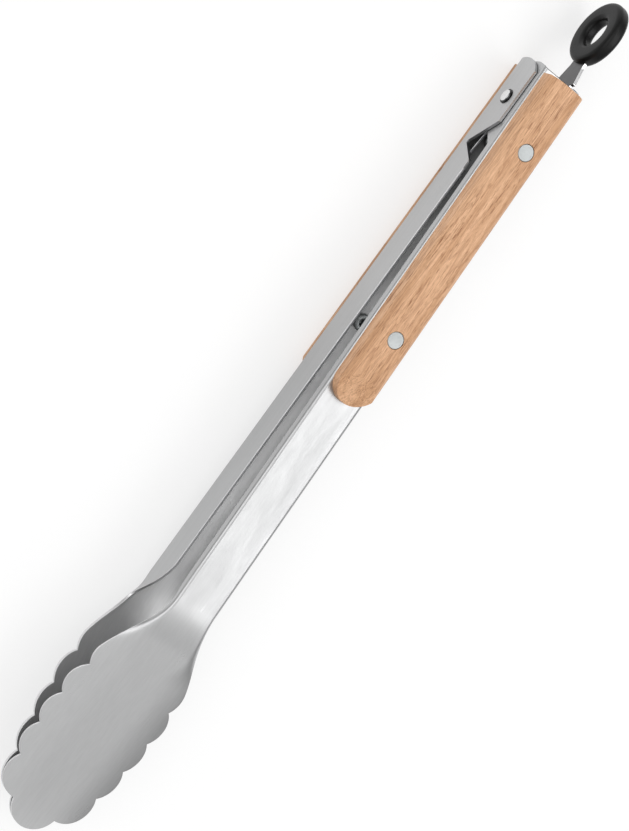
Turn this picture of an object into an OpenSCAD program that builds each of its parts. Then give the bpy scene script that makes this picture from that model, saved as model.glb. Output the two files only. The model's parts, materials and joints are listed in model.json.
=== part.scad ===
// Spring loaded kitchen tongs with wooden handle scales and a pull ring lock.
// Millimetres. The tongs are closed and lie on the lower handle scale.
// X runs from the heads to the pull ring, Y along the pivot pin, Z is the opening direction.
// Every arm shape is drawn in the arm's own frame: the pivot axis is at the origin, the flat
// outer face of the web is level above it, and the head lies towards -X.

/* [Arms] */
// Distance from the pivot axis to the tip of the heads
pivot_to_tip = 289; // [240:1:340]
// Thickness across both arm webs at the pivot
pivot_stack = 17.5; // [17:0.5:19]
// Angle between each arm and the middle plane while closed
splay = 1.32; // [1.2:0.02:1.4]
// Thickness of the arm sheet
sheet = 1; // [0.8:0.1:1.1]
// Outside width of the upper arm, which sits inside the lower one
inner_channel_w = 16.5; // [16.5:0.5:18]
// Side clearance between the nested arms
nest_gap = 0.2; // [0.15:0.05:0.4]
// Outside radius of the bend between web and flange
bend_r = 1.5; // [1.3:0.1:2]
// Flange depth of the lower arm
lower_flange = 13.8; // [12:0.2:14.2]
// Flange depth of the upper arm
upper_flange = 2.8; // [2.4:0.1:4]

/* [Heads] */
// Radius of each scallop of the rim
lobe_r = 8.8; // [8.6:0.1:9.2]
// Distance from one scallop to the next
lobe_pitch = 11.75; // [11.5:0.05:12]
// Angle at which the rim turns down from the middle of the head
dish_turn = 15; // [8:1:18]
// Part of the head's half width that stays flat
flat_share = 0.35; // [0.2:0.05:0.5]
// Space between the two heads at the tip while closed
tip_gap = 0.3; // [0.2:0.1:1]

/* [Handles] */
// Width of a wooden scale
scale_w = 15; // [14:0.5:15.5]
// Height of a wooden scale at its crown
scale_h = 7.8; // [7:0.2:9]
// Height of the upright sides of a scale
scale_side_h = 4.6; // [4:0.2:5]
// Width of the flat along the crown
crown_flat = 5; // [4:0.5:6]
// Distance from the pivot to the rounded front end of a scale
scale_front = 114.2; // [105:1:125]
// Distance from the pivot to the square rear end of a scale
scale_rear = 12.2; // [11:0.2:12.6]
// Distances from the pivot to the two handle rivets
rivet_at = [88, 13.5];

/* [Pivot and lock] */
// Radius of the pivot pin
pin_r = 1.75; // [1.5:0.05:1.8]
// Radial clearance of the pin in its holes
pin_gap = 0.05; // [0.03:0.01:0.08]
// Outside radius of the spacer bush
bush_r = 2.4; // [2.3:0.05:2.6]
// Wire diameter of the torsion spring
wire_d = 1.2; // [1:0.05:1.25]
// Travel of the pull ring from locked to released
lock_travel = 7; // [5:0.5:7]
// Distance from the pivot to the centre of the pull ring while locked
ring_at = 35.5; // [35:0.5:40]
// Outside radius of the pull ring
ring_r = 11.9; // [11.8:0.1:12.5]
// Radius of the hole in the pull ring
ring_hole_r = 5.25; // [5:0.25:5.75]
// Thickness of the pull ring
ring_t = 5; // [4.5:0.25:5]

/* [Hidden] */

$fn = 64;
web_z = pivot_stack / 2;
web_in = web_z - sheet;
inner_half = inner_channel_w / 2;
outer_half = inner_half + nest_gap + sheet;
pivot_z = web_z + scale_h;
pivot_x = (pivot_to_tip - ring_at * cos(splay) - ring_r) / 2;

// Ears around the pivot and the rounded rear end of the flanges
ear_depth = 5.9;
upper_ear_depth = 5.5;
rear_arc_r = 12;
rear_arc_at = [3.3, 3];
notch_floor = [-18.8, 4.2];
notch_r = 0.8;
notch_front = -24.8;
notch_rear = -8.7;
notch_rear_angle = 60;
upper_ear_front = [-17.2, -8.2];
ear_relief = [[5.5, -5.5], [16.5, -0.9]];

// Handle rivets
head_r = 3;
head_t = 1.2;
head_recess = 0.1;
shank_r = 2.2;
rivet_gap = 0.05;
tail_bore_r = 1.4;
tail_r = 3.05;
tail_h = 1.5;

// Pivot rivet, spring and lock
dome_r = 2.75;
dome_h = 1.1;
head_gap = 0.1;
bush_end_gap = 0.1;
coil_r = 3.9;
coil_from = -4;
coil_to = 5;
coil_turns = 6;
leg_lean = 9.5;
leg_l = 22;
plate_t = 1.2;
plate_y = -5.6;
plate_half = 4.4;
plate_inner_end = 6.3;
slot_half = bush_r + 0.15;
shoulder_x = 16;
shoulder_half = 5.9;
taper_end_x = 22.5;
neck_half = 4;
ring_edge_r = 1.8;
ring_y = -5.2;
eye_r = 9.6;
eye_hole_r = 7.6;

// ---- Formed sheet of the arms --------------------------------------------------------------

function mix(a, b, t) = a + (b - a) * t;
function ease(t) = let (c = min(1, max(0, t))) c * c * (3 - 2 * c);

// Half widths at which the scallop circles sit, from the tip lobe to the last one
lobe_offsets = [0, 8.8, 11, 11.8, 11.7, 9.7];
lobes = len(lobe_offsets);
first_lobe_s = 15.8;
function lobe_centre(i) =
    i == 0 ? [lobe_r, 0] : [first_lobe_s + lobe_pitch * (i - 1), lobe_offsets[i]];

// Where two neighbouring scallop circles cross on the outside
function valley(i) =
    let (a = lobe_centre(i), b = lobe_centre(i + 1), d = norm(b - a))
    (a + b) / 2 + [a.y - b.y, b.x - a.x] / d * sqrt(lobe_r * lobe_r - d * d / 4);

// The rim runs on from the last scallop into the neck, whose width falls to the channel's
join_s = 66;
neck_mid_s = 57;
neck_l = 36;
neck_end_s = 101;
join_half = lobe_centre(lobes - 1).y
    + sqrt(pow(lobe_r, 2) - pow(join_s - lobe_centre(lobes - 1).x, 2));
function neck_swell(s) = s >= neck_mid_s + neck_l ? 0 : (1 + cos(180 * (s - neck_mid_s) / neck_l)) / 2;
function neck_half_w(s, half) = half + (join_half - half) * neck_swell(s) / neck_swell(join_s);

arc_steps = 6;
neck_step = 2.5;
tip_angle = 175;
function angle_at(i, p) = (atan2(p.y - lobe_centre(i).y, p.x - lobe_centre(i).x) + 360) % 360;
function lobe_arc(i) =
    let (
        from = i == 0 ? tip_angle : angle_at(i, valley(i - 1)),
        to = i == lobes - 1 ? angle_at(i, [join_s, join_half]) : angle_at(i, valley(i))
    )
    [for (k = [0:arc_steps - 1]) lobe_centre(i)
        + lobe_r * [cos(mix(from, to, k / arc_steps)), sin(mix(from, to, k / arc_steps))]];

// Rim points as [distance from the tip, half width], the same for both sides
rear_s = pivot_to_tip + 17;
function rim(half) = concat(
    [for (i = [0:lobes - 1]) each lobe_arc(i)],
    [for (s = [join_s:neck_step:neck_end_s]) [s, neck_half_w(s, half)]],
    [[pivot_to_tip - 28, half], [pivot_to_tip - 21, half], [rear_s, half]]);

// Height of the outer face of the web line above the pivot, in the arm's frame
ramp_slope = 0.15;
ramp_start = 4.5;
ramp_soft = 10;
neck_from = 76;
neck_to = 94;
function ramp(s) = ramp_slope / 2 * (s - ramp_start + norm([s - ramp_start, ramp_soft]));
function head_z(s) = ramp(s) - ramp(0) + sheet + tip_gap / 2 - (pivot_to_tip - s) * tan(splay);
function web_line(s) = mix(head_z(s), web_z, ease((s - neck_from) / (neck_to - neck_from)));

// Flange depth along the arm, which fades out in the neck
flange_from = 77;
function flange_depth(s, depth, ear) =
    s > pivot_to_tip - 25 ? web_z + ear : depth * ease((s - flange_from) / (neck_end_s - flange_from));

// Cross-section, as points [y, z, turn angle] from the middle out to the edge
bend_steps = 4;
lip = 0.3;
turn_from = 66;
turn_to = 93;
dish_grow = 25;
function half_section(s, half_w, depth, ear) =
    let (
        t = ease((s - turn_from) / (turn_to - turn_from)),
        turn = mix(dish_turn * mix(0.15, 1, ease(s / dish_grow)), 90, t),
        lip_l = min(lip, lip * half_w),
        head_bend = (1 - flat_share) * (half_w - lip_l) / sin(turn),
        r = t >= 1 ? bend_r : exp(mix(ln(head_bend), ln(bend_r), t)),
        drop = r * (1 - cos(turn)),
        straight = max(lip_l, (flange_depth(s, depth, ear) - drop) / sin(turn)),
        flat_half = half_w - r * sin(turn) - straight * cos(turn),
        z = web_line(s)
    )
    concat(
        [for (k = [0:bend_steps]) let (a = turn * k / bend_steps)
            [flat_half + r * sin(a), z - r * (1 - cos(a)), a]],
        [[half_w, z - drop - straight * sin(turn), turn]]);

// One row of surface points across the sheet, for the outer or the inner face
function sheet_row(s, section, inset) =
    let (
        x = s - pivot_to_tip,
        side = [for (p = section) [x, p[0] - inset * sin(p[2]), p[1] - inset * cos(p[2])]],
        n = len(side)
    )
    concat([for (k = [n - 1:-1:0]) [side[k].x, -side[k].y, side[k].z]], side);

module formed_sheet(half, depth, ear) {
    stations = rim(half);
    rows = len(stations);
    sections = [for (p = stations) half_section(p[0], p[1], depth, ear)];
    cols = 2 * len(sections[0]);
    outer = [for (i = [0:rows - 1]) each sheet_row(stations[i][0], sections[i], 0)];
    inner = [for (i = [0:rows - 1]) each sheet_row(stations[i][0], sections[i], sheet)];
    o = function (i, j) i * cols + j;
    n = function (i, j) (rows + i) * cols + j;
    skins = [for (i = [0:rows - 2], j = [0:cols - 2]) each [
        [o(i, j), o(i, j + 1), o(i + 1, j + 1)],
        [o(i, j), o(i + 1, j + 1), o(i + 1, j)],
        [n(i, j), n(i + 1, j + 1), n(i, j + 1)],
        [n(i, j), n(i + 1, j), n(i + 1, j + 1)]]];
    edges = [for (i = [0:rows - 2]) each [
        [o(i, 0), o(i + 1, 0), n(i + 1, 0)],
        [o(i, 0), n(i + 1, 0), n(i, 0)],
        [o(i, cols - 1), n(i + 1, cols - 1), o(i + 1, cols - 1)],
        [o(i, cols - 1), n(i, cols - 1), n(i + 1, cols - 1)]]];
    ends = [for (j = [0:cols - 2]) each [
        [o(0, j), n(0, j), n(0, j + 1)],
        [o(0, j), n(0, j + 1), o(0, j + 1)],
        [o(rows - 1, j), n(rows - 1, j + 1), n(rows - 1, j)],
        [o(rows - 1, j), o(rows - 1, j + 1), n(rows - 1, j + 1)]]];
    polyhedron(points = concat(outer, inner), faces = concat(skins, edges, ends));
}

// ---- Side outlines of the arms, in the XZ plane --------------------------------------------

far = 40;
trim = 0.001;

module side_prism() {
    rotate([90, 0, 0]) linear_extrude(2 * far, center = true) children();
}

// Everything in front of the rounded rear end
module rear_outline() {
    translate(rear_arc_at) circle(rear_arc_r);
    translate([-pivot_to_tip - far, -far]) square([pivot_to_tip + far + rear_arc_at.x, 2 * far]);
}

// The cut ahead of the lower arm's ears: two straight flanks into a rounded floor
module notch_outline() {
    translate(notch_floor) circle(notch_r);
    polygon([
        [notch_floor.x - notch_r, notch_floor.y],
        notch_floor + notch_r * [cos(notch_rear_angle), sin(notch_rear_angle)],
        [notch_rear, -ear_depth],
        [notch_rear, -far],
        [notch_front, -far],
        [notch_front, web_z - lower_flange]]);
}

module lower_side() {
    difference() {
        rear_outline();
        notch_outline();
        translate([notch_front, -far]) square([2 * far, far - ear_depth]);
    }
}

module upper_side() {
    edge_z = web_z - upper_flange - trim;
    difference() {
        rear_outline();
        polygon([
            [notch_front - far, edge_z],
            [upper_ear_front[0], edge_z],
            [upper_ear_front[1], -upper_ear_depth],
            ear_relief[0],
            ear_relief[1],
            [far, -far],
            [notch_front - far, -far]]);
    }
}

module pivot_hole() {
    rotate([90, 0, 0]) cylinder(h = 2 * far, r = pin_r + pin_gap, center = true);
}

module rivet_holes() {
    for (d = rivet_at)
        translate([-d, 0, web_in - 1]) cylinder(h = sheet + 2, r = shank_r + rivet_gap);
}

module arm_shape(half, depth, ear) {
    difference() {
        intersection() {
            formed_sheet(half, depth, ear);
            side_prism() children();
        }
        pivot_hole();
        rivet_holes();
    }
}

// ---- Handle scales and their rivets ---------------------------------------------------------

crown_round_r = 5.5;

module scale_section() {
    intersection() {
        translate([-scale_w / 2, 0]) square([scale_w, scale_h]);
        union() {
            translate([-scale_w / 2, 0]) square([scale_w, scale_side_h]);
            translate([-crown_flat / 2, 0]) square([crown_flat, scale_h]);
            for (side = [-1, 1])
                translate([side * crown_flat / 2, scale_h - crown_round_r]) circle(crown_round_r);
        }
    }
}

module scale_plan() {
    front_r = scale_w / 2;
    translate([-scale_front + front_r, 0]) circle(front_r);
    translate([-scale_front + front_r, -front_r]) square([scale_front - front_r + scale_rear, scale_w]);
}

// The slanted facet that thins the front end
bevel_l = 10.8;
bevel_end_h = 2.6;

module handle_scale() {
    bevel_angle = atan((scale_h - bevel_end_h) / bevel_l);
    translate([0, 0, web_z]) difference() {
        intersection() {
            rotate([90, 0, 90]) translate([0, 0, -scale_front])
                linear_extrude(scale_front + scale_rear) scale_section();
            linear_extrude(scale_h) scale_plan();
        }
        translate([-scale_front, 0, bevel_end_h]) rotate([0, -bevel_angle, 0])
            translate([-far / 2, -far / 2, 0]) cube([far, far, far]);
        for (d = rivet_at) translate([-d, 0, 0]) {
            translate([0, 0, -1]) cylinder(h = scale_h + 2, r = shank_r + rivet_gap);
            translate([0, 0, scale_h - head_t - head_recess])
                cylinder(h = far, r = head_r + rivet_gap);
        }
    }
}

// Flat head in the scale, shank through scale and web, rolled hollow tail inside the channel
module handle_rivet(at) {
    top = web_z + scale_h - head_recess;
    bottom = web_in - tail_h;
    lip_z = web_in - tail_h / 2;
    translate([-at, 0, 0]) difference() {
        union() {
            translate([0, 0, top - head_t]) cylinder(h = head_t, r = head_r);
            translate([0, 0, lip_z]) cylinder(h = top - head_t - lip_z, r = shank_r);
            translate([0, 0, lip_z]) rotate_extrude() {
                translate([tail_r - tail_h / 2, 0]) circle(tail_h / 2);
                translate([tail_bore_r, -tail_h / 2]) square([tail_r - tail_h / 2 - tail_bore_r, tail_h]);
            }
        }
        translate([0, 0, bottom - 1]) cylinder(h = 5, r = tail_bore_r);
    }
}

// ---- Pivot, spring and lock, in the frame of the middle plane -------------------------------

module dome() {
    ball_r = (dome_r * dome_r + dome_h * dome_h) / (2 * dome_h);
    intersection() {
        cylinder(h = dome_h, r = dome_r);
        translate([0, 0, dome_h - ball_r]) sphere(ball_r);
    }
}

module rivet_pin() {
    seat = outer_half + head_gap;
    rotate([90, 0, 0]) {
        cylinder(h = 2 * seat, r = pin_r, center = true);
        for (side = [0, 1]) mirror([0, 0, side]) translate([0, 0, seat]) dome();
    }
}

module bush() {
    half_l = inner_half - sheet - bush_end_gap;
    rotate([90, 0, 0]) difference() {
        cylinder(h = 2 * half_l, r = bush_r, center = true);
        cylinder(h = 2 * half_l + 2, r = pin_r + pin_gap, center = true);
    }
}

// Spring wire: a leg under the upper web, the coil round the bush, a leg over the lower web.
// Each path point is [position, angle round the pin].
coil_step = 15;
first_angle = 90 - leg_lean;
last_angle = -first_angle - 360 * coil_turns;
function coil_point(a) =
    let (t = (first_angle - a) / (first_angle - last_angle))
    [coil_r * cos(a), mix(coil_from, coil_to, t), coil_r * sin(a)];
function leg_point(a, along) = coil_point(a) + along * [sin(a), 0, -cos(a)];
coil_count = round((first_angle - last_angle) / coil_step);
wire_path = concat(
    [[leg_point(first_angle, -leg_l), first_angle]],
    [for (k = [0:coil_count]) let (a = mix(first_angle, last_angle, k / coil_count)) [coil_point(a), a]],
    [[leg_point(last_angle, leg_l), last_angle]]);

module wire() {
    sides = 8;
    rings = len(wire_path);
    points = [for (p = wire_path, k = [0:sides - 1])
        p[0] + wire_d / 2 * (cos(360 * k / sides) * [cos(p[1]), 0, sin(p[1])]
            + sin(360 * k / sides) * [0, 1, 0])];
    skin = [for (i = [0:rings - 2], k = [0:sides - 1]) let (m = (k + 1) % sides) each [
        [i * sides + k, i * sides + m, (i + 1) * sides + m],
        [i * sides + k, (i + 1) * sides + m, (i + 1) * sides + k]]];
    first_end = [for (k = [sides - 1:-1:0]) k];
    last_end = [for (k = [0:sides - 1]) (rings - 1) * sides + k];
    polyhedron(points = points, faces = concat(skin, [first_end, last_end]));
}

module plate_outline() {
    difference() {
        union() {
            translate([-plate_inner_end, -plate_half]) square([plate_inner_end + shoulder_x, 2 * plate_half]);
            polygon([
                [shoulder_x, -shoulder_half],
                [taper_end_x, -neck_half],
                [taper_end_x, neck_half],
                [shoulder_x, shoulder_half]]);
            translate([shoulder_x, -neck_half]) square([ring_at - eye_hole_r - shoulder_x, 2 * neck_half]);
            translate([ring_at, 0]) circle(eye_r);
        }
        translate([ring_at, 0]) circle(eye_hole_r);
        translate([0, -slot_half]) square([lock_travel, 2 * slot_half]);
        for (x = [0, lock_travel]) translate([x, 0]) circle(slot_half);
    }
}

module plate() {
    translate([0, plate_y, 0]) rotate([90, 0, 0])
        linear_extrude(plate_t, center = true) plate_outline();
}

module ring_body() {
    translate([ring_at, ring_y, 0]) rotate([90, 0, 0]) rotate_extrude() {
        translate([ring_hole_r + ring_edge_r, -ring_t / 2])
            square([ring_r - ring_hole_r - 2 * ring_edge_r, ring_t]);
        translate([ring_hole_r, ring_edge_r - ring_t / 2])
            square([ring_r - ring_hole_r, ring_t - 2 * ring_edge_r]);
        for (x = [ring_hole_r, ring_r - 2 * ring_edge_r], z = [-ring_t / 2, ring_t / 2 - 2 * ring_edge_r])
            translate([x + ring_edge_r, z + ring_edge_r]) circle(ring_edge_r);
    }
}

// ---- Places: each arm and the middle plane between them -------------------------------------

module at_pivot() { translate([pivot_x, 0, pivot_z]) children(); }
module on_lower_arm() { at_pivot() mirror([0, 0, 1]) children(); }
module on_upper_arm() { at_pivot() rotate([0, 2 * splay, 0]) children(); }
module between_arms() { at_pivot() rotate([0, splay, 0]) children(); }

// ---- Sub-parts ------------------------------------------------------------------------------

module lower_arm() {
    color("lightsteelblue") on_lower_arm()
        arm_shape(outer_half, lower_flange, ear_depth) lower_side();
}
module upper_arm() {
    color("silver") on_upper_arm()
        arm_shape(inner_half, upper_flange, upper_ear_depth) upper_side();
}
module lower_scale() { color("burlywood") on_lower_arm() handle_scale(); }
module upper_scale() { color("burlywood") on_upper_arm() handle_scale(); }
module lower_front_rivet() { color("gainsboro") on_lower_arm() handle_rivet(rivet_at[0]); }
module lower_rear_rivet() { color("gainsboro") on_lower_arm() handle_rivet(rivet_at[1]); }
module upper_front_rivet() { color("gainsboro") on_upper_arm() handle_rivet(rivet_at[0]); }
module upper_rear_rivet() { color("gainsboro") on_upper_arm() handle_rivet(rivet_at[1]); }
module pivot_rivet() { color("lightgray") between_arms() rivet_pin(); }
module pivot_bush() { color("darkgray") between_arms() bush(); }
module torsion_spring() { color("gray") between_arms() wire(); }
module lock_plate() { color("silver") between_arms() plate(); }
module pull_ring() {
    color("black") between_arms() difference() {
        ring_body();
        plate();
    }
}

lower_arm();
upper_arm();
lower_scale();
upper_scale();
lower_front_rivet();
lower_rear_rivet();
upper_front_rivet();
upper_rear_rivet();
pivot_rivet();
pivot_bush();
torsion_spring();
lock_plate();
pull_ring();
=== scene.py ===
"""Spring loaded kitchen tongs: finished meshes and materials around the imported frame.

Shapes are worked out in millimetres in one of three frames with the pivot at the origin:
each arm's own frame (flat outer face of the web level above the pivot, head towards -X)
and the middle plane between the arms. The object's own matrix puts a piece in the row frame.
"""
import json
import math

import bmesh
import bpy
from mathutils import Matrix, Vector

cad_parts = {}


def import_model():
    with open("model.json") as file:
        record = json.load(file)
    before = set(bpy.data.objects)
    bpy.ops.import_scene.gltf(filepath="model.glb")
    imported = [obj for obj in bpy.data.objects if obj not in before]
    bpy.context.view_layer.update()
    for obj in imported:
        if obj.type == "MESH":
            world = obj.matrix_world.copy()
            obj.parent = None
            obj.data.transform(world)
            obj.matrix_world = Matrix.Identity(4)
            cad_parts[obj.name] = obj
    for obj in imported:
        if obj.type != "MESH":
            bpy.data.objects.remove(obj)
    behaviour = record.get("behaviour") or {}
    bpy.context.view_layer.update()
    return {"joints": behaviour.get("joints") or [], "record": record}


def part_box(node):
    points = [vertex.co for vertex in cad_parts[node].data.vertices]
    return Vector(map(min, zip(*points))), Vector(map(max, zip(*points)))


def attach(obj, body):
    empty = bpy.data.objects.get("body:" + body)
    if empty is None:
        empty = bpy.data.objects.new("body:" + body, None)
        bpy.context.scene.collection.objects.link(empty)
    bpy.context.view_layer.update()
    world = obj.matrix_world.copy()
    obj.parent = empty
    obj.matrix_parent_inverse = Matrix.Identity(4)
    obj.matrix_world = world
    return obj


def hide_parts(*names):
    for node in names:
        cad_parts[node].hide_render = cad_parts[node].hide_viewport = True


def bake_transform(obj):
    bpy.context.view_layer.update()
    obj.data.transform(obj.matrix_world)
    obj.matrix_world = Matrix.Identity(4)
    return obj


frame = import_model()

# ---- Sizes, in millimetres ------------------------------------------------------------------

MM = 0.001
joints = {joint["name"]: joint for joint in frame["joints"]}
pivot = Vector(joints["arm_hinge"]["pos_m"])
slide_axis = joints["lock_slide"]["axis"]
splay = math.atan2(-slide_axis[2], slide_axis[0])
ring_mount = frame["record"]["mounts"][0]

arm_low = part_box("lower_arm")[0]
scale_low, scale_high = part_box("lower_scale")
pivot_to_tip = (pivot.x - arm_low.x) / MM
scale_h = (scale_high.z - scale_low.z) / MM
scale_w = (scale_high.y - scale_low.y) / MM
scale_front = (pivot.x - scale_low.x) / MM
scale_rear = (scale_high.x - pivot.x) / MM
web_z = pivot.z / MM - scale_h
ring_low, ring_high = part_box("pull_ring")
ring_r = (ring_high.z - ring_low.z) / 2 / MM
ring_t = (ring_high.y - ring_low.y) / MM

SHEET = 1.0
INNER_HALF = 8.25
OUTER_HALF = 9.45
BEND_R = 1.5
LOWER_FLANGE = 13.8
UPPER_FLANGE = 2.8
DEEP_FLANGE_FROM = 28.0
EDGE_BREAK = 0.12
RIM_R = 0.2
RIM_CLEAR = 0.8

# How finely the sheet is divided. Its last rows are given as distances before the pivot.
RIM_STEPS, FLAT_STEPS, BEND_STEPS, LOBE_STEPS = 3, 6, 12, 20
CHANNEL_ROW = 12.0
REAR_ROWS = (DEEP_FLANGE_FROM, DEEP_FLANGE_FROM - 2, 10.0, -17.0)

# Heads and necks, measured from the tip
LOBE_R = 8.8
LOBE_PITCH = 11.75
FIRST_LOBE = 15.8
TIP_HALF = 0.15
LOBE_OFFSETS = (0, 8.8, 11, 11.8, 11.7, 9.7)
DISH_TURN = math.radians(15)
FLAT_SHARE = 0.35
LIP = 0.3
TIP_GAP = 0.3
JOIN = 66.0
NECK_MIDDLE = 57.0
NECK_LENGTH = 36.0
NECK_END = 101.0
TURN_FROM, TURN_TO = 66.0, 93.0
FLANGE_FROM = 77.0
RAMP_SLOPE, RAMP_START, RAMP_SOFT = 0.15, 4.5, 10.0
RAMP_FADE_FROM, RAMP_FADE_TO = 76.0, 94.0

# Ears round the pivot, as x and z from the pivot
EAR_DEPTH = 5.9
UPPER_EAR_DEPTH = 5.5
REAR_ARC_AT = (3.3, 3.0)
REAR_ARC_R = 12.0
NOTCH_FRONT = -24.8
NOTCH_FLOOR = (-19.2, 5.0)
NOTCH_REAR = -8.7
UPPER_EAR_FRONT = (-17.2, -8.2)
UPPER_EAR_RELIEF = ((5.5, -5.5), (16.5, -0.9))
RELIEF_END_X = 14.5

# Handle scales and rivets
CROWN_FLAT = 5.0
CROWN_ROUND = 5.5
BEVEL_L = 10.8
BEVEL_END_H = 2.6
SCALE_EDGE = 0.35
RIVET_AT = {"front": 88.0, "rear": 13.5}
HEAD_R = 3.0
HEAD_T = 1.2
HEAD_RECESS = 0.1
HEAD_CHAMFER = 0.25
FACE_SUNK = 0.05
FACE_RIM_FROM, FACE_RIM_TO = 0.35, 0.15
DIMPLE_R, DIMPLE_DEPTH = 0.5, 0.12
SHANK_R = 2.2
FIT_GAP = 0.05
TAIL_R = 3.05
TAIL_BORE_R = 1.4
TAIL_BORE_L = 3.0
TAIL_MOUTH_R = 0.45
DRILL_POINT = 0.6
TAIL_H = 1.5

# Pivot, spring and lock
PIN_R = 1.75
BUSH_R = 2.4
HEAD_COLLAR_R = 2.75
HEAD_COLLAR_T = 0.25
BUTTON_R = 2.15
BUTTON_H = 1.1
BUTTON_CROWN = 0.35
CROWN_EASE = 0.03
TURNED_EDGE = 0.1
HEAD_GAP = 0.1
BUSH_GAP = 0.1
BUSH_CHAMFER = 0.2
COIL_R = 3.9
COIL_FROM, COIL_TO = -4.0, 5.0
COIL_TURNS = 6
COIL_STEPS, LEG_STEPS, WIRE_SIDES = 40, 10, 16
WIRE_D = 1.2
LEG_LEAN = math.radians(9.5)
LEG_L = 22.0
PLATE_T = 1.2
PLATE_FACE_FROM = 0.8
PLATE_Y = -5.6
PLATE_HALF = 4.4
PLATE_INNER_END = 6.3
SLOT_HALF = 2.55
SHOULDER_AT = 16.0
SHOULDER_RUN = 0.4
SHOULDER_HALF = 5.9
TAPER_END = 22.5
TONGUE_HALF = 4.0
EYE_R = 9.6
EYE_HOLE_R = 7.6
LOCK_TRAVEL = 7.0
RING_HOLE_R = ring_mount["dims"]["r_mm"]
RING_EDGE = 1.8

# How far cutters reach past what they cut
FAR = 40.0
THROUGH = 60.0
THROUGH_WEB = 5.0
SEAT_DRILL = 30.0
SPARE = 5.0
FLANGE_SPARE = 1.0
SKIM = 0.01

# From the middle plane's frame and the arms' frames to the row frame
to_middle = Matrix.Translation(pivot) @ Matrix.Rotation(splay, 4, "Y")
ring_centre = to_middle.inverted() @ Vector(ring_mount["pos_m"]) / MM

PLACES = {
    "lower": Matrix.Translation(pivot) @ Matrix.Rotation(math.pi, 4, "X"),
    "upper": Matrix.Translation(pivot) @ Matrix.Rotation(2 * splay, 4, "Y"),
}


def mix(a, b, t):
    """From a at 0 to b at 1."""
    return a + (b - a) * t


def ease(t):
    """From 0 to 1 with level ends."""
    t = min(1.0, max(0.0, t))
    return t * t * (3 - 2 * t)


# ---- Meshes ---------------------------------------------------------------------------------

def mesh_object(name, points, faces):
    """A new object from points in millimetres."""
    mesh = bpy.data.meshes.new(name)
    mesh.from_pydata([Vector(p) * MM for p in points], [], faces)
    mesh.validate()
    obj = bpy.data.objects.new(name, mesh)
    bpy.context.scene.collection.objects.link(obj)
    return obj


def prism(name, outline, low, high, axis="y"):
    """Extrudes a closed outline of (x, z) points along Y, or of (x, y) points along Z."""
    n = len(outline)
    lift = {"y": lambda p, h: (p[0], h, p[1]), "z": lambda p, h: (p[0], p[1], h)}[axis]
    points = [lift(p, h) for h in (low, high) for p in outline]
    sides = [(k, (k + 1) % n, n + (k + 1) % n, n + k) for k in range(n)]
    obj = mesh_object(name, points, sides + [tuple(range(n))[::-1], tuple(range(n, 2 * n))])
    tidy_normals(obj)
    return obj


def arc(centre, r, start, end, steps):
    """Points on an arc, with angles in degrees."""
    angles = [math.radians(mix(start, end, k / steps)) for k in range(steps + 1)]
    return [(centre[0] + r * math.cos(a), centre[1] + r * math.sin(a)) for a in angles]


def rounded(corners, steps=6):
    """A run of (x, z, radius) corners, each rounded by its radius, up to the last one."""
    outline = []
    for k, (x, z, r) in enumerate(corners[:-1]):
        here = Vector((x, z))
        if r == 0:
            outline.append((x, z))
            continue
        back = (Vector(corners[k - 1][:2]) - here).normalized()
        on = (Vector(corners[k + 1][:2]) - here).normalized()
        half = back.angle(on) / 2
        centre = here + (back + on).normalized() * r / math.sin(half)
        first, last = (here + side * r / math.tan(half) - centre for side in (back, on))
        sweep = first.angle_signed(last)
        for i in range(steps + 1):
            a = -sweep * i / steps
            c, s = math.cos(a), math.sin(a)
            outline.append((centre.x + first.x * c - first.y * s, centre.y + first.x * s + first.y * c))
    return outline


def lathe(name, profile, steps=72):
    """Turns a profile of (radius, height) points about Z. A radius of 0 closes the end."""
    points, rings = [], []
    for r, h in profile:
        count = 1 if r == 0 else steps
        rings.append(range(len(points), len(points) + count))
        points += [(r * math.cos(2 * math.pi * k / steps), r * math.sin(2 * math.pi * k / steps), h)
                   for k in range(count)]
    faces = []
    closed = 0 if profile[0][0] == 0 else 1
    for i in range(len(rings) - 1 + closed):
        a, b = rings[i], rings[(i + 1) % len(rings)]
        for k in range(steps):
            m = (k + 1) % steps
            corners = [a[k % len(a)], a[m % len(a)], b[m % len(b)], b[k % len(b)]]
            faces.append(tuple(dict.fromkeys(corners)))
    obj = mesh_object(name, points, faces)
    tidy_normals(obj)
    return obj


def tidy_normals(obj):
    """Turns every face of a closed mesh outwards."""
    work = bmesh.new()
    work.from_mesh(obj.data)
    bmesh.ops.recalc_face_normals(work, faces=work.faces)
    work.to_mesh(obj.data)
    work.free()


def apply_modifiers(obj):
    """Replaces the mesh by what its modifiers make of it."""
    graph = bpy.context.evaluated_depsgraph_get()
    graph.update()
    mesh = bpy.data.meshes.new_from_object(obj.evaluated_get(graph))
    obj.modifiers.clear()
    old = obj.data
    obj.data = mesh
    bpy.data.meshes.remove(old)


def combine(obj, tool, operation="DIFFERENCE"):
    """Applies a boolean with tool, and deletes tool."""
    modifier = obj.modifiers.new("cut", "BOOLEAN")
    modifier.operation = operation
    modifier.object = tool
    modifier.solver = "EXACT"
    apply_modifiers(obj)
    bpy.data.objects.remove(tool)


def break_edges(obj, width, segments=2, angle=34):
    """Rounds the sharp edges and keeps the flat faces flat in the shading."""
    bevel = obj.modifiers.new("edges", "BEVEL")
    bevel.width = width * MM
    bevel.segments = segments
    bevel.limit_method = "ANGLE"
    bevel.angle_limit = math.radians(angle)
    bevel.miter_outer = "MITER_ARC"
    weighted = obj.modifiers.new("normals", "WEIGHTED_NORMAL")
    weighted.keep_sharp = True
    for face in obj.data.polygons:
        face.use_smooth = True
    apply_modifiers(obj)


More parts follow.
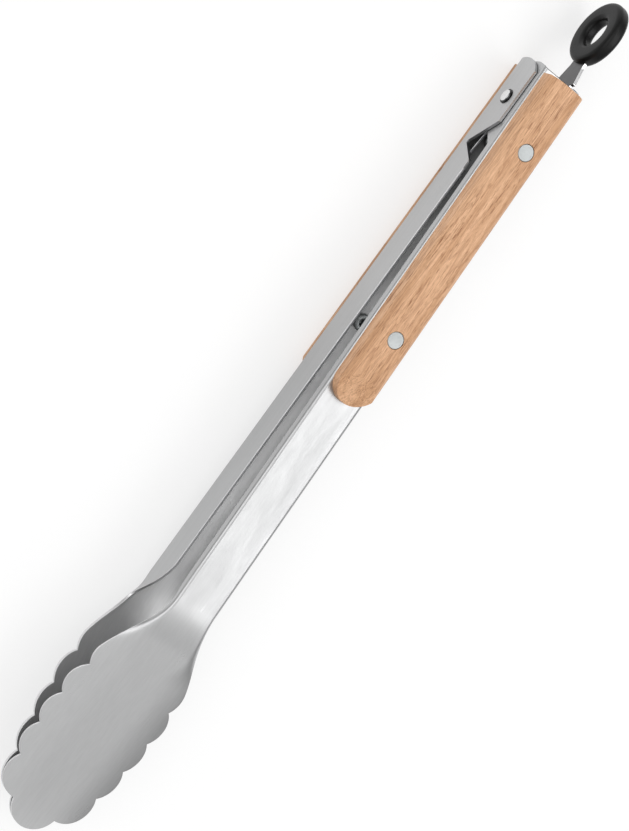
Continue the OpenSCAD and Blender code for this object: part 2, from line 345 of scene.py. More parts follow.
def smooth(obj, angle):
    """Smooth shading, with the edges sharper than an angle in degrees kept sharp."""
    for face in obj.data.polygons:
        face.use_smooth = True
    obj.data.set_sharp_from_angle(angle=math.radians(angle))


def settle(obj, place):
    """Puts a piece in the row frame. Its matrix keeps the place and whole quarter turns, so that
    textures follow the piece, and the small turn that is left goes into the mesh."""
    squared = Matrix([[float(round(place[i][k])) for k in range(3)] for i in range(3)]).to_4x4()
    resting = Matrix.Translation(place.translation) @ squared
    obj.data.transform(resting.inverted() @ place)
    obj.matrix_world = resting


def finish_piece(obj, place, body, node, material=None):
    """Settles a piece, hangs it on its body and hides the imported part it stands in for. Without a
    material it keeps its own.
    """
    settle(obj, place)
    if material is not None:
        obj.data.materials.clear()
        obj.data.materials.append(material)
    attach(obj, body)
    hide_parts(node)


# ---- Formed sheet of the arms ---------------------------------------------------------------

def lobe_centre(i):
    """Centre of a scallop circle as (distance from the tip, distance from the middle)."""
    if i == 0:
        return Vector((LOBE_R, 0))
    return Vector((FIRST_LOBE + LOBE_PITCH * (i - 1), LOBE_OFFSETS[i]))


def valley(i):
    """Where two neighbouring scallop circles cross on the outside."""
    a, b = lobe_centre(i), lobe_centre(i + 1)
    d = (b - a).length
    return (a + b) / 2 + Vector((a.y - b.y, b.x - a.x)) / d * math.sqrt(LOBE_R ** 2 - d * d / 4)


last_lobe = lobe_centre(len(LOBE_OFFSETS) - 1)
join_half = last_lobe.y + math.sqrt(LOBE_R ** 2 - (JOIN - last_lobe.x) ** 2)


def neck_swell(s):
    """Share of the swelling from the channel to the head: a cosine that ends level."""
    if s >= NECK_MIDDLE + NECK_LENGTH:
        return 0.0
    return (1 + math.cos(math.pi * (s - NECK_MIDDLE) / NECK_LENGTH)) / 2


def neck_half_width(s, half):
    """Half width of the neck, which narrows to the channel's half width."""
    return half + (join_half - half) * neck_swell(s) / neck_swell(JOIN)


def rim(half):
    """Rim points as (distance from the tip, half width)."""
    lobes = len(LOBE_OFFSETS)
    stations = []
    for i in range(lobes):
        centre = lobe_centre(i)
        start = Vector((0, TIP_HALF)) if i == 0 else valley(i - 1)
        end = Vector((JOIN, join_half)) if i == lobes - 1 else valley(i)
        from_a, to_a = ((math.atan2(p.y - centre.y, p.x - centre.x) + 2 * math.pi) % (2 * math.pi)
                        for p in (start, end))
        for k in range(LOBE_STEPS):
            a = mix(from_a, to_a, k / LOBE_STEPS)
            stations.append((centre.x + LOBE_R * math.cos(a), centre.y + LOBE_R * math.sin(a)))
    stations += [(JOIN + k, neck_half_width(JOIN + k, half)) for k in range(int(NECK_END - JOIN) + 1)]
    channel_l = pivot_to_tip - DEEP_FLANGE_FROM - NECK_END
    channel = [NECK_END + CHANNEL_ROW * k for k in range(1, int(channel_l // CHANNEL_ROW))]
    channel += [pivot_to_tip - before_pivot for before_pivot in REAR_ROWS]
    return stations + [(s, half) for s in channel]


def ramp(s):
    """Rise of the head's middle line: level at the tip, then bending into a straight slope."""
    return RAMP_SLOPE / 2 * (s - RAMP_START + math.hypot(s - RAMP_START, RAMP_SOFT))


def web_line(s):
    """Height of the outer face above the pivot, along the middle of the arm."""
    head = ramp(s) - ramp(0) + SHEET + TIP_GAP / 2 - (pivot_to_tip - s) * math.tan(splay)
    return mix(head, web_z, ease((s - RAMP_FADE_FROM) / (RAMP_FADE_TO - RAMP_FADE_FROM)))


def flange_depth(s, flange):
    """Full depth at the ears, which the side outline then cuts to shape."""
    if s > pivot_to_tip - DEEP_FLANGE_FROM + FLANGE_SPARE:
        return web_z + EAR_DEPTH + FLANGE_SPARE
    return flange * ease((s - FLANGE_FROM) / (NECK_END - FLANGE_FROM))


def half_section(s, half_w, half, flange):
    """The outer face from the middle out to the rim, as [across, height, turn] points."""
    envelope = neck_half_width(max(s, NECK_MIDDLE), half)
    t = ease((s - TURN_FROM) / (TURN_TO - TURN_FROM))
    turn = mix(DISH_TURN, math.pi / 2, t)
    head_bend = (1 - FLAT_SHARE) * (envelope - LIP) / math.sin(turn)
    r = math.exp(mix(math.log(head_bend), math.log(BEND_R), t))
    drop = r * (1 - math.cos(turn))
    straight = max(LIP, (flange_depth(s, flange) - drop) / math.sin(turn))
    flat = envelope - r * math.sin(turn) - straight * math.cos(turn)
    bend = r * turn
    whole = flat + bend + straight
    if s < JOIN:
        past_bend = half_w - flat - r * math.sin(turn)
        if past_bend >= 0:
            length = flat + bend + past_bend / math.cos(turn)
        elif half_w > flat:
            length = flat + r * math.asin((half_w - flat) / r)
        else:
            length = half_w
    else:
        length = whole
    last_mark = min(flat + bend, whole - RIM_CLEAR)
    marks = [flat * k / FLAT_STEPS for k in range(FLAT_STEPS)]
    marks += [mix(flat, last_mark, k / BEND_STEPS) for k in range(BEND_STEPS + 1)] + [whole]
    z = web_line(s)
    points = []
    for mark in marks:
        along = mark * length / whole
        if along <= flat:
            points.append((along, z, 0.0))
        elif along <= flat + bend:
            a = (along - flat) / r
            points.append((flat + r * math.sin(a), z - r * (1 - math.cos(a)), a))
        else:
            rest = along - flat - bend
            points.append((flat + r * math.sin(turn) + rest * math.cos(turn),
                           z - drop - rest * math.sin(turn), turn))
    return points


def sheet_row(side):
    """Outer and inner skin of half a row, as (across, height), ending in a rounded rim."""
    y, z, a = side[-1]
    out, up = Vector((math.cos(a), -math.sin(a))), Vector((math.sin(a), math.cos(a)))
    r = min(RIM_R, (Vector(side[-1][:2]) - Vector(side[-2][:2])).length / 2)
    turns = [math.radians(90 * k / RIM_STEPS) for k in range(RIM_STEPS + 1)]
    outer = [Vector(p[:2]) for p in side[:-1]]
    inner = [Vector((p[0] - SHEET * math.sin(p[2]), p[1] - SHEET * math.cos(p[2]))) for p in side[:-1]]
    for skin, corner, facing in ((outer, Vector((y, z)), up), (inner, Vector((y, z)) - up * SHEET, -up)):
        centre = corner - r * out - r * facing
        skin += [centre + r * (math.sin(turn) * out + math.cos(turn) * facing) for turn in turns]
    return outer, inner


OUTSIDE_SLOT, INSIDE_SLOT, RIM_SLOT = range(3)


def formed_sheet(name, half, flange, materials):
    """A closed mesh of the bent sheet, before its side outline is cut. The outside, the inside
    and the rim take one material each; the rim's brighter steel is partly bare sheared metal and partly
    a painted highlight."""
    outer, inner = [], []
    stations = rim(half)
    for s, half_w in stations:
        for skin, points in zip((outer, inner), sheet_row(half_section(s, half_w, half, flange))):
            row = [(s - pivot_to_tip, y, z) for y, z in points]
            mirrored = [(x, -y, z) for x, y, z in row[:0:-1]]
            skin.append(mirrored + row)
    rows, cols = len(stations), len(outer[0])

    def index(skin, i, j):
        return (skin * rows + i) * cols + j

    faces = []
    for i in range(rows - 1):
        for j in range(cols - 1):
            for skin in (0, 1):
                quad = (index(skin, i, j), index(skin, i, j + 1),
                        index(skin, i + 1, j + 1), index(skin, i + 1, j))
                faces.append(quad if skin == 0 else quad[::-1])
        for j in (0, cols - 1):
            faces.append((index(0, i, j), index(0, i + 1, j), index(1, i + 1, j), index(1, i, j)))
    for i in (0, rows - 1):
        for j in range(cols - 1):
            faces.append((index(0, i, j), index(1, i, j), index(1, i, j + 1), index(0, i, j + 1)))
    obj = mesh_object(name, [p for skin in (outer, inner) for row in skin for p in row], faces)
    for material in materials:
        obj.data.materials.append(material)
    for face in obj.data.polygons:
        across = [v % cols for v in face.vertices]
        if min(across) < RIM_STEPS or max(across) >= cols - RIM_STEPS:
            face.material_index = RIM_SLOT
        else:
            face.material_index = INSIDE_SLOT if min(face.vertices) >= rows * cols else OUTSIDE_SLOT
    tidy_normals(obj)
    return obj


def rear_arc(from_z, to_z):
    """The rounded rear end of the flanges, as outline points."""
    angles = [math.degrees(math.asin((z - REAR_ARC_AT[1]) / REAR_ARC_R)) for z in (from_z, to_z)]
    return arc(REAR_ARC_AT, REAR_ARC_R, angles[0], angles[1], 24)


def rear_corners():
    """Closes a side outline far behind and below the arm."""
    return [(FAR, web_z + FLANGE_SPARE), (FAR, -FAR)]


def lower_side_waste():
    """What is cut away below and behind the lower arm's flange, notch and ears."""
    edge = web_z - LOWER_FLANGE + SKIM
    floor_x, floor_z = NOTCH_FLOOR
    cut = rounded([
        (-DEEP_FLANGE_FROM, -FAR, 0), (-DEEP_FLANGE_FROM, edge, 0),
        (NOTCH_FRONT, edge, 1.2), (floor_x, floor_z, 0.9), (NOTCH_REAR, -EAR_DEPTH, 1.5),
        (0, -EAR_DEPTH, 0)])
    return cut + rear_arc(-EAR_DEPTH, web_z + FLANGE_SPARE) + rear_corners()


def upper_side_waste():
    """The same for the upper arm, whose ear is relieved at the rear to clear the lower web."""
    edge = web_z - UPPER_FLANGE - SKIM
    rise, run = (UPPER_EAR_RELIEF[1][k] - UPPER_EAR_RELIEF[0][k] for k in (1, 0))
    meet_z = UPPER_EAR_RELIEF[0][1] + rise / run * (RELIEF_END_X - UPPER_EAR_RELIEF[0][0])
    cut = rounded([
        (-DEEP_FLANGE_FROM, -FAR, 0), (-DEEP_FLANGE_FROM, edge, 0),
        (UPPER_EAR_FRONT[0], edge, 1.5), (UPPER_EAR_FRONT[1], -UPPER_EAR_DEPTH, 1.5),
        (*UPPER_EAR_RELIEF[0], 3.0), (RELIEF_END_X, meet_z, 0)])
    return cut + rear_arc(meet_z, web_z + FLANGE_SPARE) + rear_corners()


def drill(obj, axis_matrix, r, length):
    """Cuts a round hole of radius r along the Z axis of axis_matrix."""
    tool = prism("drill", arc((0, 0), r, 0, 360, 48)[:-1], -length / 2, length / 2, "z")
    tool.data.transform(axis_matrix)
    combine(obj, tool)


def arm(name, side, half, flange, waste, materials):
    """Formed sheet, cut to its side outline and drilled for the pin and the rivets."""
    obj = formed_sheet(name, half, flange, materials)
    combine(obj, prism("waste", waste, -FAR, FAR))
    drill(obj, Matrix.Rotation(math.pi / 2, 4, "X"), PIN_R + FIT_GAP, THROUGH)
    for distance in RIVET_AT.values():
        seat = Matrix.Translation(Vector((-distance, 0, web_z)) * MM)
        drill(obj, seat, SHANK_R + FIT_GAP, THROUGH_WEB)
    break_edges(obj, EDGE_BREAK)
    finish_piece(obj, PLACES[side], side, side + "_arm")


# ---- Handle scales and their rivets ---------------------------------------------------------

SWAP_XY = Matrix(((0, 1, 0, 0), (1, 0, 0, 0), (0, 0, 1, 0), (0, 0, 0, 1)))


def scale_section():
    """Flat underside, upright sides and rounded shoulders up to a flat crown, as (y, z) points."""
    half = scale_w / 2
    centre = (CROWN_FLAT / 2, scale_h - CROWN_ROUND)
    last = math.degrees(math.acos((half - centre[0]) / CROWN_ROUND))
    right = [(half, 0)] + arc(centre, CROWN_ROUND, last, 90, 14)
    return right + [(-y, z) for y, z in right[::-1]]


def handle_scale(side, material):
    """A length of the section, with a round front end, a slanted facet and stepped rivet holes."""
    obj = prism(side + "_wooden_scale", scale_section(), -scale_front - SPARE, scale_rear)
    obj.data.transform(SWAP_XY)
    tidy_normals(obj)
    front_r = scale_w / 2
    plan = arc((front_r - scale_front, 0), front_r, 90, 270, 48)
    plan += [(scale_rear + SPARE, -front_r), (scale_rear + SPARE, front_r)]
    combine(obj, prism("plan", plan, -SPARE, scale_h + SPARE, "z"), "INTERSECT")
    rise = FAR * (scale_h - BEVEL_END_H) / BEVEL_L
    front, rear = -scale_front - FAR, -scale_front + FAR
    facet = [(front, BEVEL_END_H - rise), (rear, BEVEL_END_H + rise), (front, BEVEL_END_H + rise)]
    combine(obj, prism("facet", facet, -FAR, FAR))
    for distance in RIVET_AT.values():
        across = Matrix.Translation(Vector((-distance, 0, 0)) * MM)
        drill(obj, across, SHANK_R + FIT_GAP, THROUGH)
        seat = scale_h - HEAD_T - HEAD_RECESS
        above_seat = across @ Matrix.Translation((0, 0, (seat + SEAT_DRILL / 2) * MM))
        drill(obj, above_seat, HEAD_R + FIT_GAP, SEAT_DRILL)
    break_edges(obj, SCALE_EDGE, 3, 28)
    finish_piece(obj, PLACES[side] @ Matrix.Translation((0, 0, web_z * MM)), side,
                 side + "_scale", material)


def handle_rivet(side, which, material):
    """Faced head, shank, and a hollow tail rolled over inside the channel."""
    top = scale_h - HEAD_RECESS
    under = -SHEET
    lip = TAIL_H / 2
    face_r = HEAD_R - HEAD_CHAMFER
    mouth = (TAIL_BORE_R + TAIL_MOUTH_R, under - TAIL_H + TAIL_MOUTH_R)
    profile = [(0, top - DIMPLE_DEPTH), (DIMPLE_R, top - FACE_SUNK)]
    profile += [(face_r - FACE_RIM_FROM, top - FACE_SUNK), (face_r - FACE_RIM_TO, top)]
    profile += [(face_r, top), (HEAD_R, top - HEAD_CHAMFER)]
    profile += [(HEAD_R, top - HEAD_T), (SHANK_R, top - HEAD_T), (SHANK_R, under)]
    profile += arc((TAIL_R - lip, under - lip), lip, 90, -90, 14)
    profile += arc(mouth, TAIL_MOUTH_R, -90, -180, 6)
    profile += [(TAIL_BORE_R, under + TAIL_BORE_L), (0, under + TAIL_BORE_L + DRILL_POINT)]
    obj = lathe(f"{side}_{which}_turned_rivet", profile)
    smooth(obj, 30)
    place = PLACES[side] @ Matrix.Translation(Vector((-RIVET_AT[which], 0, web_z)) * MM)
    finish_piece(obj, place, side, f"{side}_{which}_rivet", material)


# ---- Pivot, spring and lock -----------------------------------------------------------------

along_pin = to_middle @ Matrix.Rotation(-math.pi / 2, 4, "X")


def pivot_rivet(material):
    """Pin with a crowned button on a thin collar at each end."""
    seat = OUTER_HALF + HEAD_GAP
    collar = seat + HEAD_COLLAR_T
    top = seat + BUTTON_H
    brink = top - BUTTON_CROWN
    ball_r = (BUTTON_R ** 2 + BUTTON_CROWN ** 2) / (2 * BUTTON_CROWN)
    edge = math.degrees(math.asin(BUTTON_R / ball_r))
    crown = arc((0, top - ball_r), ball_r, 90, 90 - edge, 12)
    profile = [(0, top)] + crown[1:-1]
    profile += [(BUTTON_R - TURNED_EDGE, brink + CROWN_EASE), (BUTTON_R, brink - TURNED_EDGE)]
    profile += [(BUTTON_R, collar), (HEAD_COLLAR_R - TURNED_EDGE, collar)]
    profile += [(HEAD_COLLAR_R, collar - TURNED_EDGE), (HEAD_COLLAR_R, seat), (PIN_R, seat)]
    obj = lathe("pivot_button_rivet", profile + [(r, -h) for r, h in profile[::-1]])
    smooth(obj, 35)
    finish_piece(obj, along_pin, "pin", "pivot_rivet", material)


def pivot_bush(material):
    """Chamfered tube on the pin, between the inner ears."""
    half = INNER_HALF - SHEET - BUSH_GAP
    wall = [(PIN_R + FIT_GAP, half), (BUSH_R - BUSH_CHAMFER, half), (BUSH_R, half - BUSH_CHAMFER)]
    obj = lathe("pivot_spacer_bush", wall + [(r, -h) for r, h in wall[::-1]])
    smooth(obj, 35)
    finish_piece(obj, along_pin, "pin", "pivot_bush", material)


def torsion_spring(material):
    """One wire: a leg under the upper web, six turns round the bush, a leg over the lower web."""
    first = math.pi / 2 - LEG_LEAN
    last = -first - 2 * math.pi * COIL_TURNS
    steps, sides = COIL_TURNS * COIL_STEPS, WIRE_SIDES

    def on_coil(a):
        y = mix(COIL_FROM, COIL_TO, (first - a) / (first - last))
        return Vector((COIL_R * math.cos(a), y, COIL_R * math.sin(a)))

    def on_leg(a, along):
        return on_coil(a) + along * Vector((math.sin(a), 0, -math.cos(a)))

    path = [(on_leg(first, -LEG_L * (1 - k / LEG_STEPS)), first) for k in range(LEG_STEPS)]
    path += [(on_coil(a), a) for a in (mix(first, last, k / steps) for k in range(steps + 1))]
    path += [(on_leg(last, LEG_L * k / LEG_STEPS), last) for k in range(1, LEG_STEPS + 1)]
    points = []
    for centre, a in path:
        out, across = Vector((math.cos(a), 0, math.sin(a))), Vector((0, 1, 0))
        for k in range(sides):
            turn = 2 * math.pi * k / sides
            points.append(centre + WIRE_D / 2 * (math.cos(turn) * out + math.sin(turn) * across))
    faces = [(i * sides + k, i * sides + (k + 1) % sides, (i + 1) * sides + (k + 1) % sides,
              (i + 1) * sides + k) for i in range(len(path) - 1) for k in range(sides)]
    faces += [tuple(range(sides))[::-1], tuple(range(len(points) - sides, len(points)))]
    obj = mesh_object("torsion_spring_wire", points, faces)
    obj.data.transform(to_middle)
    tidy_normals(obj)
    smooth(obj, 50)
    obj.data.materials.append(material)
    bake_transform(obj)
    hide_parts("torsion_spring")


def lock_plate(face_material, edge_material):
    """Flat plate that slides between the webs, with a slot for the bush and an eye in the ring.
    Its sheared edges take a bright steel, partly bare metal and partly a painted highlight, and its
    faces a very dark steel as painted shade."""
    ring_x = ring_centre.x
    half = rounded([
        (-PLATE_INNER_END, 0, 0), (-PLATE_INNER_END, PLATE_HALF, 1.0),
        (SHOULDER_AT - SHOULDER_RUN, PLATE_HALF, 0), (SHOULDER_AT, SHOULDER_HALF, 0.5),
        (TAPER_END, TONGUE_HALF, 2.0), (ring_x, TONGUE_HALF, 0)], 5)[1:]
    meet = math.degrees(math.asin(TONGUE_HALF / EYE_R))
    half += arc((ring_x, 0), EYE_R, 180 - meet, 0, 40)[:-1]
    outline = half + [(ring_x + EYE_R, 0)] + [(x, -z) for x, z in half[::-1]]
    obj = prism("lock_sheared_plate", outline, PLATE_Y - PLATE_T / 2, PLATE_Y + PLATE_T / 2)
    slot = arc((0, 0), SLOT_HALF, 90, 270, 24) + arc((LOCK_TRAVEL, 0), SLOT_HALF, -90, 90, 24)
    combine(obj, prism("slot", slot, -FAR, FAR))
    combine(obj, prism("eye", arc((ring_x, 0), EYE_HOLE_R, 0, 360, 64)[:-1], -FAR, FAR))
    break_edges(obj, EDGE_BREAK)
    for material in (face_material, edge_material):
        obj.data.materials.append(material)
    # Faces across the plate take the very dark steel as painted shade, and the edges the bright steel,
    # partly as a painted highlight.
    for face in obj.data.polygons:
        face.material_index = int(abs(face.normal.y) < PLATE_FACE_FROM)
    finish_piece(obj, to_middle, "lock", "lock_plate")


def pull_ring(material):
    """Moulded round the plate's eye, with rounded edges."""
    inside, outside, half_t = RING_HOLE_R + RING_EDGE, ring_r - RING_EDGE, ring_t / 2 - RING_EDGE
    profile = arc((outside, half_t), RING_EDGE, 0, 90, 8) + arc((inside, half_t), RING_EDGE, 90, 180, 8)
    profile += arc((inside, -half_t), RING_EDGE, 180, 270, 8)
    profile += arc((outside, -half_t), RING_EDGE, 270, 360, 8)
    obj = lathe("pull_moulded_ring", profile, 96)
    obj.data.transform(Matrix.Translation(ring_centre * MM) @ Matrix.Rotation(math.pi / 2, 4, "X"))
    smooth(obj, 60)
    finish_piece(obj, to_middle, "lock", "pull_ring", material)


# ---- Materials ------------------------------------------------------------------------------

def grey_stops(color_ramp, stops):
    """Fills a colour ramp with greys from (position, level) pairs."""
    while len(color_ramp.elements) < len(stops):
        color_ramp.elements.new(1.0)
    for stop, (position, level) in zip(color_ramp.elements, stops):
        stop.position, stop.color = position, (level, level, level, 1)


class Surface:
    """A principled material whose inputs are fed by textures in the piece's own space."""

    def __init__(self, name, **settings):
        self.material = bpy.data.materials.new(name)
        self.material.use_nodes = True
        self.nodes = self.material.node_tree.nodes
        self.links = self.material.node_tree.links
        self.shader = self.nodes["Principled BSDF"]
        for socket, value in settings.items():
            self.shader.inputs[socket.replace("_", " ")].default_value = value
        self.space = self.nodes.new("ShaderNodeTexCoord").outputs["Object"]

    def node(self, kind, inputs=None, **properties):
        made = self.nodes.new("ShaderNode" + kind)
        for key, value in properties.items():
            setattr(made, key, value)
        for key, value in (inputs or {}).items():
            if isinstance(value, bpy.types.NodeSocket):
                self.links.new(value, made.inputs[key])
            else:
                made.inputs[key].default_value = value
        return made

    def stretched(self, per_mm):
        """Coordinates scaled per millimetre along each axis."""
        made = self.node("Mapping", {"Vector": self.space, "Scale": [v / MM for v in per_mm]})
        return made.outputs["Vector"]

    def noise(self, vector, detail=3.0, roughness=0.55, distortion=0.0):
        made = self.node("TexNoise", {"Vector": vector, "Scale": 1.0, "Detail": detail,
                                      "Roughness": roughness, "Distortion": distortion})
        return made.outputs["Fac"]

    def remap(self, value, from_low, from_high, to_low, to_high):
        made = self.node("MapRange", {"Value": value, "From Min": from_low, "From Max": from_high,
                                      "To Min": to_low, "To Max": to_high})
        return made.outputs["Result"]

    def maths(self, operation, a, b=0.0):
        return self.node("Math", {0: a, 1: b}, operation=operation).outputs[0]

    def blend(self, factor, a, b, mode="MIX"):
        made = self.node("Mix", {"Factor": factor}, data_type="RGBA", blend_type=mode)
        for socket, colour in ((made.inputs[6], a), (made.inputs[7], b)):
            if isinstance(colour, bpy.types.NodeSocket):
                self.links.new(colour, socket)
            else:
                socket.default_value = (*colour, 1)
        return made.outputs[2]

    def ramp(self, value, stops):
        made = self.node("ValToRGB", {"Fac": value})
        grey_stops(made.color_ramp, stops)
        return made.outputs["Color"]

    def set(self, socket, source):
        self.links.new(source, self.shader.inputs[socket])

    def bump(self, height, distance_mm):
        made = self.node("Bump", {"Height": height, "Distance": distance_mm * MM})
        self.set("Normal", made.outputs["Normal"])


def brushed_steel(name, colour, rough, along=None):
    """Fine lines along the arm, faint smudges, and a roughness that follows both. A painted shade can
    multiply the tone by (share, level) stops from the tip to the pivot."""
    surface = Surface(name, Metallic=1.0)
    lines = surface.noise(surface.stretched((0.05, 6, 6)), detail=4)
    wide_lines = surface.noise(surface.stretched((0.02, 1.4, 1.4)), detail=3)
    smudge = surface.noise(surface.stretched((0.04, 0.1, 0.1)), detail=4, distortion=0.6)
    darker = tuple(c * 0.95 for c in colour)
    tone = surface.blend(surface.remap(wide_lines, 0.35, 0.65, 0, 1), darker, colour)
    # Painted shade: the tone is multiplied by levels that change from the tip to the pivot.
    if along is not None:
        x = surface.node("SeparateXYZ", {"Vector": surface.space}).outputs["X"]
        share = surface.remap(x, -pivot_to_tip * MM, 0, 0, 1)
        tone = surface.blend(1.0, tone, surface.ramp(share, along), "MULTIPLY")
    surface.set("Base Color", tone)
    mixed = surface.maths("ADD", lines, smudge)
    surface.set("Roughness", surface.remap(mixed, 0.6, 1.4, rough - 0.08, rough + 0.1))
    surface.bump(lines, 0.0025)
    return surface.material


def wood(name, seed, tone_and_painted_shade):
    """Straight grain: wide bands, growth rings, fine streaks and fibres, and rows of short pores."""
    light, middle, deep = (tuple(tone_and_painted_shade * c for c in colour) for colour in
                           ((0.85, 0.52, 0.31), (0.68, 0.39, 0.215), (0.27, 0.105, 0.04)))
    surface = Surface(name, Roughness=0.5, Specular_IOR_Level=0.35)
    board = {"Vector": surface.space, "Location": (seed, seed * 0.7, seed * 0.3)}
    surface.space = surface.node("Mapping", board).outputs["Vector"]
    bands = surface.noise(surface.stretched((0.012, 0.38, 0.25)), detail=3, distortion=0.2)
    streaks = surface.noise(surface.stretched((0.07, 2.6, 2.0)), detail=5, roughness=0.7)
    fibres = surface.noise(surface.stretched((0.5, 7.0, 6.0)), detail=3, roughness=0.7)
    pores = surface.noise(surface.stretched((0.22, 4.2, 3.2)), detail=2, roughness=0.45)
    rows = surface.noise(surface.stretched((0.02, 0.9, 0.6)), detail=2)
    growth = surface.noise(surface.stretched((0.004, 0.2, 0.15)), detail=1, distortion=0.3)
    years = surface.maths("FRACT", surface.maths("MULTIPLY", growth, 10.0))
    tone = surface.blend(surface.remap(bands, 0.38, 0.62, 0, 1), middle, light)
    ringed = surface.blend(surface.remap(years, 0.0, 0.35, 0.34, 0), tone, deep)
    streaky = surface.blend(surface.remap(streaks, 0.45, 0.75, 0, 0.55), ringed, deep)
    fibrous = surface.blend(surface.remap(fibres, 0.4, 0.75, 0, 0.4), streaky, deep)
    open_rows = surface.remap(rows, 0.4, 0.6, 0.25, 1)
    pore_mask = surface.maths("MULTIPLY", surface.remap(pores, 0.58, 0.65, 0, 0.85), open_rows)
    surface.set("Base Color", surface.blend(pore_mask, fibrous, deep))
    surface.set("Roughness", surface.remap(streaks, 0.3, 0.7, 0.42, 0.6))
    surface.bump(surface.maths("SUBTRACT", streaks, pore_mask), 0.06)
    return surface.material


def turned_metal(name, colour, rough, painted_shade_from=None):
    """Fine rings about the piece's own Z axis, left by facing it, and a nearly black painted shade
    outside a radius.
    """
    surface = Surface(name, Metallic=1.0)
    rings = surface.node("TexWave", {"Vector": surface.stretched((1, 1, 1)), "Scale": 1.6,
                                     "Distortion": 0.6, "Detail": 2.0, "Detail Scale": 3.0},
                         wave_type="RINGS", rings_direction="Z").outputs["Fac"]
    specks = surface.noise(surface.stretched((2.5, 2.5, 2.5)), detail=3)
    tone = surface.blend(specks, tuple(c * 0.9 for c in colour), colour)
    # Painted shade: nearly black beyond the given radius, standing in for the shadow round the sides and
    # collar of the pivot button.
    if painted_shade_from is not None:
        across = surface.stretched((1, 1, 0))
        radius = surface.node("VectorMath", {0: across}, operation="LENGTH").outputs["Value"]
        painted_shade = surface.remap(radius, painted_shade_from, painted_shade_from + 0.05, 0, 1)
        tone = surface.blend(painted_shade, tone, (0.02, 0.02, 0.02))
    surface.set("Base Color", tone)
    surface.set("Roughness", surface.remap(specks, 0.3, 0.7, rough - 0.06, rough + 0.08))
    surface.bump(rings, 0.004)
    return surface.material


def rubber(name):
    """Black, with a fine moulded grain and a little dust."""
    surface = Surface(name, Specular_IOR_Level=0.2)
    grain = surface.noise(surface.stretched((3, 3, 3)), detail=4)
    dust = surface.noise(surface.stretched((0.25, 0.25, 0.25)), detail=3)
    surface.set("Base Color", surface.blend(dust, (0.004, 0.004, 0.004), (0.008, 0.008, 0.008)))
    surface.set("Roughness", surface.remap(grain, 0.3, 0.7, 0.3, 0.42))
    surface.bump(grain, 0.01)
    return surface.material


# ---- The tongs ------------------------------------------------------------------------------

# Painted shade on the steel as (share of the way from the tip to the pivot, level): the outside darker
# along the middle of the arm, the inside darkest towards the pivot
OUTSIDE_PAINTED_SHADE = ((0.3, 1.0), (0.45, 0.93), (0.62, 0.88), (0.75, 1.0))
INSIDE_PAINTED_SHADE = ((0.0, 0.8), (0.28, 0.8), (0.36, 1.0), (0.5, 1.0), (0.62, 0.84), (0.72, 0.8), (0.81, 0.6),
               (0.9, 0.3))
steel = [brushed_steel("satin_steel_painted_shade", (0.50, 0.502, 0.505), 0.34, along=OUTSIDE_PAINTED_SHADE),
         brushed_steel("unpolished_steel_painted_shade", (0.64, 0.642, 0.645), 0.5, along=INSIDE_PAINTED_SHADE),
         # The rims' brighter steel is partly bare sheared metal and partly a painted highlight along the
         # cut edges.
         brushed_steel("sheared_rim_steel_painted_highlight", (0.70, 0.70, 0.705), 0.38)]
arm("lower_formed_arm", "lower", OUTER_HALF, LOWER_FLANGE, lower_side_waste(), steel)
arm("upper_formed_arm", "upper", INNER_HALF, UPPER_FLANGE, upper_side_waste(), steel)
aluminium = turned_metal("faced_aluminium", (0.46, 0.48, 0.48), 0.5)
# The lower board is 0.8 as bright: partly a darker board and partly painted shade on the board that lies
# beyond the far arm.
for side, seed, tone_and_painted_shade in (("lower", 0.5, 0.8), ("upper", 1.5, 1.0)):
    handle_scale(side, wood(side + "_oiled_wood", seed, tone_and_painted_shade))
    for which in RIVET_AT:
        handle_rivet(side, which, aluminium)
# The pivot button's steel is painted nearly black outside its crown, as shade on its sides and collar.
pivot_rivet(turned_metal("pivot_button_steel_painted_shade", (0.80, 0.80, 0.80), 0.25, BUTTON_R - 0.02))
pivot_bush(turned_metal("bright_pin_steel", (0.80, 0.80, 0.80), 0.22))
torsion_spring(brushed_steel("drawn_spring_steel", (0.42, 0.42, 0.43), 0.3))
# The plate's faces are painted dark as shade and its edges bright, partly as a highlight.
lock_plate(brushed_steel("plate_steel_painted_shade", (0.16, 0.16, 0.162), 0.4),
           brushed_steel("sheared_edge_steel_painted_highlight", (0.70, 0.70, 0.705), 0.25))
pull_ring(rubber("black_rubber"))

# ---- Floor, light and camera ----------------------------------------------------------------

FLOOR_SIZE = 6.0
FLOOR_GLOW = 0.63
# Brightness of the surroundings as (height, level), from the horizon to straight up
SKY = ((0.0, 0.97), (0.08, 0.97), (0.15, 0.25), (0.5, 0.45), (0.85, 1.0))
LOOK_AT = pivot + Vector((-0.12248, -0.00076, 0.0032))
CAMERA_AZIMUTH = math.radians(88.68)
CAMERA_ELEVATION = math.radians(63.35)
CAMERA_ROLL = math.radians(127.16)
CAMERA_DISTANCE = 0.85
LENS = 111.24
# Azimuth, elevation, distance, size and power of each soft light
SOFTBOXES = {
    "key": (-60, 58, 1.2, (0.9, 0.5), 3.3),
    "fill": (85, 52, 1.3, (1.1, 0.65), 3.0),
    "side": (0, 48, 1.3, (0.6, 0.6), 0.8),
}


def direction(azimuth, elevation):
    """Unit vector from angles in radians."""
    level = math.cos(elevation)
    return Vector((level * math.cos(azimuth), level * math.sin(azimuth), math.sin(elevation)))


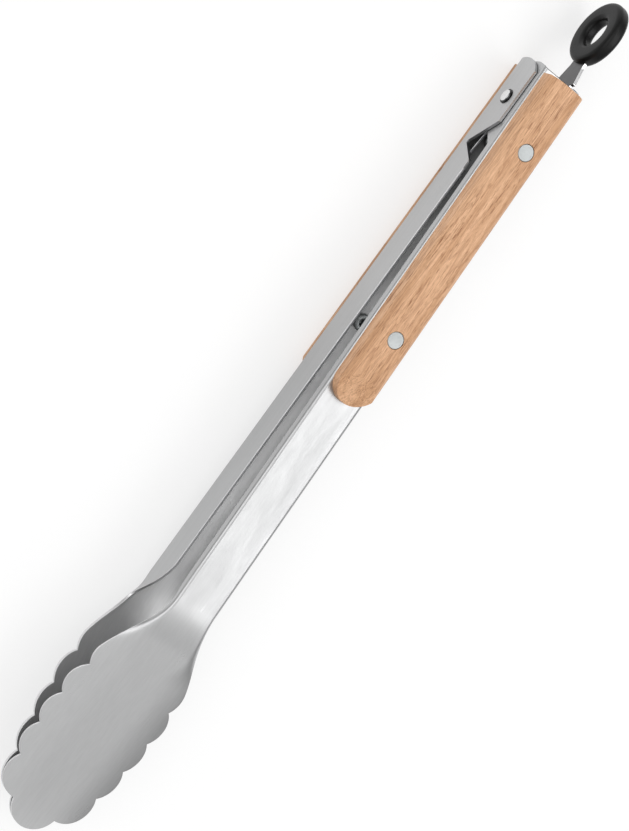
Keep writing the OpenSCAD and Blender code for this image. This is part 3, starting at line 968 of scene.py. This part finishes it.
def floor():
    """A pale sheet that glows, so that it stays nearly white round the object."""
    half = FLOOR_SIZE / 2 / MM
    obj = mesh_object("floor", [(-half, -half, 0), (half, -half, 0), (half, half, 0), (-half, half, 0)],
                      [(0, 1, 2, 3)])
    surface = Surface("pale_floor", Roughness=0.8)
    tone = surface.noise(surface.stretched((0.02, 0.02, 0.02)), detail=2)
    surface.set("Base Color", surface.blend(tone, (0.34, 0.34, 0.34), (0.36, 0.36, 0.36)))
    surface.shader.inputs["Emission Color"].default_value = (1, 1, 1, 1)
    surface.shader.inputs["Emission Strength"].default_value = FLOOR_GLOW
    obj.data.materials.append(surface.material)


def softbox(name, azimuth, elevation, distance, size, power):
    """A soft light that faces the object, placed by angles in degrees."""
    data = bpy.data.lights.new(name, "AREA")
    data.shape = "RECTANGLE"
    data.size, data.size_y = size
    data.energy = power
    obj = bpy.data.objects.new(name, data)
    bpy.context.scene.collection.objects.link(obj)
    towards = direction(math.radians(azimuth), math.radians(elevation))
    obj.location = LOOK_AT + towards * distance
    obj.rotation_euler = towards.to_track_quat("Z", "Y").to_euler()


def world():
    """Surroundings whose brightness changes with height, for the steel to reflect."""
    made = bpy.data.worlds.new("studio")
    made.use_nodes = True
    nodes, links = made.node_tree.nodes, made.node_tree.links
    split = nodes.new("ShaderNodeSeparateXYZ")
    links.new(nodes.new("ShaderNodeTexCoord").outputs["Generated"], split.inputs[0])
    rise = nodes.new("ShaderNodeValToRGB")
    grey_stops(rise.color_ramp, SKY)
    links.new(split.outputs["Z"], rise.inputs["Fac"])
    links.new(rise.outputs["Color"], nodes["Background"].inputs["Color"])
    bpy.context.scene.world = made


def camera():
    """Looks at LOOK_AT from above, rolled so that the tongs stand slanted in the picture."""
    data = bpy.data.cameras.new("camera")
    data.lens = LENS
    data.sensor_width = 36
    data.sensor_fit = "AUTO"
    data.clip_start = 0.05
    obj = bpy.data.objects.new("camera", data)
    bpy.context.scene.collection.objects.link(obj)
    back = direction(CAMERA_AZIMUTH, CAMERA_ELEVATION)
    right = Vector((0, 0, 1)).cross(back).normalized()
    up = back.cross(right)
    turned = math.cos(CAMERA_ROLL) * right + math.sin(CAMERA_ROLL) * up
    axes = Matrix((turned, back.cross(turned), back)).transposed().to_4x4()
    obj.matrix_world = Matrix.Translation(LOOK_AT + back * CAMERA_DISTANCE) @ axes
    bpy.context.scene.camera = obj


floor()
world()
for light, settings in SOFTBOXES.items():
    softbox(light, *settings)
camera()
bpy.context.scene.view_settings.view_transform = "Standard"
